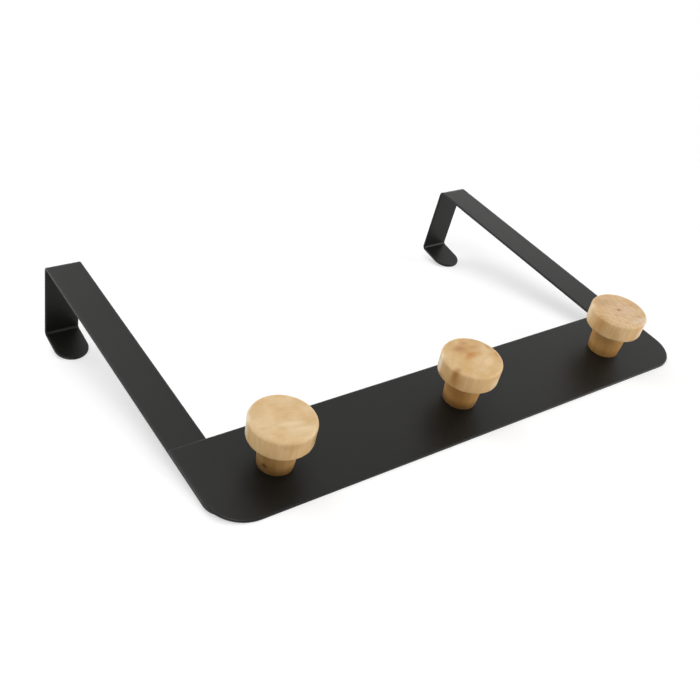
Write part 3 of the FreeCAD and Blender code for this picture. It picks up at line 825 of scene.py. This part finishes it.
@dataclass
class HookRail:
    """The whole rail: plate, folded strips, knobs and screws, as they lie on the table."""

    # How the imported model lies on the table, and its own sizes
    tilt_deg: float = 15.9496
    shift_mm: tuple[float, float, float] = (0.0, -56.3168, 15.4758)
    plate_width_mm: float = 51.5
    knob_spacing_mm: float = 110.0

    def on_plate(self, along_mm: float) -> tuple[float, float, float]:
        """Gives the place on the plate's show face, on its middle line.

        Args:
            along_mm: Distance from the middle of the plate.

        Returns:
            The place in the row's frame, in millimetres.
        """
        tilt = math.radians(self.tilt_deg)
        middle = -self.plate_width_mm / 2
        across = middle * math.cos(tilt) + self.shift_mm[1]
        height = middle * math.sin(tilt) + self.shift_mm[2]
        return (along_mm + self.shift_mm[0], across, height)

    def woods(self) -> dict[Part, TurnedBeech]:
        """Gives each knob its own piece of wood.

        Returns:
            The wood of each knob.
        """
        left = TurnedBeech(
            "beech_left", pale="#D7BB90", warm="#CAA674", side="#F9F5E9", neck="#E6D4B6", ring_strength=0.22,
            ring_mm=4.5, pith_mm=(-20.0, 60.0), fleck_turn_deg=-14.0, fleck_length_mm=9.0, fleck_mm=0.9,
            fleck_strength=0.16, seed=3.1, marks=(
                Mark((1.5, 4.5, TOP), (6.0, 3.6, 3.0), "#C79A5E", 0.3, turn_deg=-15.0),
                Mark((-10.0, 7.5, TOP), (8.0, 6.0, 3.0), "#C4A274", 0.5, turn_deg=30.0),
                Mark((1.0, -4.5, TOP), (9.0, 2.6, 3.0), "#E4CFA8", 0.5, turn_deg=-14.0),
                Mark((5.0, -9.5, TOP), (10.0, 2.6, 3.0), "#E4CFAA", 0.45, turn_deg=-14.0),
                Mark((-5.0, -15.5, 25.0), (10.0, 3.4, 4.0), "#BE9C6A", 0.7),
                Mark((12.0, -11.4, 21.4), (7.6, 7.4, 7.8), "#A2845A", 1.0),
                # Painted sheen: a near-white patch at the left edge stands for the lacquer's grazing
                # reflection
                Mark((-14.6, 7.0, 22.5), (3.6, 5.0, 8.0), "#EEE6DA", 0.9, ragged=0.3),
                Mark((-8.7, -3.7, 4.4), (2.6, 2.8, 2.1), "#54350F", 1.0, ragged=0.9),
                Mark((-7.5, -6.5, 5.0), (4.4, 4.4, 5.0), "#A27638", 0.4),
            ))
        centre = TurnedBeech(
            "beech_centre", pale="#D5B78A", warm="#C9A36D", side="#FFFAF0", ring_strength=0.35, ring_mm=4.6,
            pith_mm=(14.0, -26.0), fleck_turn_deg=60.0, fleck_length_mm=2.0, fleck_strength=0.2, seed=7.7,
            marks=(
                Mark((-2.2, 7.4, TOP), (6.4, 4.8, 3.0), "#AA7A48", 0.85, turn_deg=-20.0, ragged=0.8),
                Mark((4.5, 5.6, TOP), (7.0, 5.0, 3.0), "#BC8E58", 0.8, turn_deg=-10.0, ragged=0.9),
                Mark((2.0, 10.6, TOP), (4.0, 2.6, 3.0), "#AC7C48", 0.6, turn_deg=-20.0, ragged=0.8),
                Mark((9.5, 9.6, TOP), (6.0, 5.0, 3.0), "#BE9660", 0.7, turn_deg=-40.0),
                Mark((3.6, 1.4, TOP), (5.0, 3.0, 3.0), "#C09056", 0.7, turn_deg=-12.0, ragged=0.8),
                Mark((-0.3, 1.9, TOP), (4.6, 3.6, 3.0), "#B4783A", 0.95, turn_deg=-12.0, ragged=0.7,
                     soft=1.0),
                Mark((-2.6, 0.2, TOP), (3.6, 2.2, 3.0), "#BA8042", 0.6, ragged=0.8),
                Mark((12.6, 3.5, TOP), (1.1, 4.0, 3.0), "#A87140", 0.7, turn_deg=15.0, ragged=1.2),
                Mark((12.9, -3.2, TOP), (0.9, 3.2, 3.0), "#A87140", 0.65, turn_deg=-8.0, ragged=1.2),
                Mark((11.4, -8.2, TOP), (1.0, 2.8, 3.0), "#B07C48", 0.5, turn_deg=-35.0, ragged=1.2),
                Mark((5.5, -6.0, TOP), (7.4, 4.2, 3.0), "#E6CFA4", 0.5, turn_deg=25.0),
                Mark((-14.5, -5.2, 23.5), (3.6, 3.4, 10.5), "#A26F36", 0.9, ragged=0.4),
                Mark((-13.4, -8.0, 21.0), (4.0, 3.6, 7.0), "#B4884E", 0.4),
                Mark((-15.4, 1.8, 24.0), (2.6, 3.0, 9.0), "#B8945E", 0.35, ragged=0.4),
                Mark((-14.9, 4.0, 17.6), (4.0, 5.0, 3.0), "#A9793F", 0.7),
                Mark((6.0, -15.0, 20.5), (8.0, 5.0, 8.0), "#E6D3B2", 0.7, ragged=0.8),
                # Painted sheen: a near-white patch at the left edge stands for the lacquer's grazing
                # reflection
                Mark((-14.0, 7.6, 21.5), (3.2, 4.4, 8.0), "#E6DCCC", 0.8, ragged=0.3),
            ))
        right = TurnedBeech(
            "beech_right", pale="#D8B98E", warm="#CCA775", side="#FFFBF0", neck="#ECD8B4", foot="#CCC6BB",
            fleck="#94683F", ring_strength=0.3, ring_mm=3.4, pith_mm=(-50.0, -40.0), fleck_turn_deg=-66.0,
            fleck_length_mm=3.4, fleck_mm=0.5, fleck_strength=0.6, fleck_on_side=0.12, seed=12.4, marks=(
                Mark((0.0, 0.0, 28.6), (20.0, 20.0, 2.6), "#D0B396", 0.6, ragged=0.2),
                Mark((-3.5, 9.0, TOP), (12.0, 5.0, 2.0), "#B69370", 0.55, turn_deg=-20.0, ragged=0.9),
                Mark((4.0, -2.0, TOP), (9.0, 9.0, 2.0), "#D8BCA0", 0.4, ragged=0.9),
                Mark((-0.9, 0.1, TOP), (1.8, 1.6, 1.5), "#8F5A2A", 0.9),
                Mark((-15.0, -2.2, 23.6), (4.0, 4.6, 9.5), "#B4844A", 0.55, ragged=0.4),
                Mark((-12.5, -9.0, 21.5), (6.0, 5.6, 7.0), "#BE9254", 0.45, ragged=0.8),
                # Painted sheen: a pale patch at the left edge stands for the lacquer's grazing reflection
                Mark((-12.5, 9.5, 23.0), (4.0, 5.4, 8.0), "#E9DABC", 0.7),
                Mark((3.0, -12.4, TOP), (11.0, 4.0, 2.0), "#DECBB6", 0.55),
                # Painted sheen: a near-white patch at the right edge stands for the lacquer's grazing
                # reflection
                Mark((7.5, -14.0, 21.0), (9.0, 6.0, 8.0), "#E6DACC", 0.9),
            ))
        return {Part.KNOB_LEFT: left, Part.KNOB_CENTRE: centre, Part.KNOB_RIGHT: right}

    def build(self, frame: dict) -> None:
        """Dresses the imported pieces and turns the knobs.
        """
        steel = (Part.PLATE, Part.LEFT_ARM, Part.RIGHT_ARM)
        packed = [PackedPiece(node, PowderCoat(name=f"powder_coat_{node.value}")) for node in steel]
        packed.append(PackedPiece(Part.SCREWS, ZincPlate()))
        for piece in packed:
            LOG.info("dressed %s", piece.dress(frame).name)
        steps = {Part.KNOB_LEFT: -1, Part.KNOB_CENTRE: 0, Part.KNOB_RIGHT: 1}
        woods = self.woods()
        for node, step in steps.items():
            seat = self.on_plate(step * self.knob_spacing_mm)
            LOG.info("turned %s", Knob(node, woods[node], seat, self.tilt_deg).build().name)


def main() -> None:
    """Loads the frame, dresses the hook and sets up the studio."""
    logging.basicConfig(level=logging.INFO, format="%(name)s: %(message)s")
    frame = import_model()
    HookRail().build(frame)
    Studio().build()


if __name__ == "__main__":
    main()
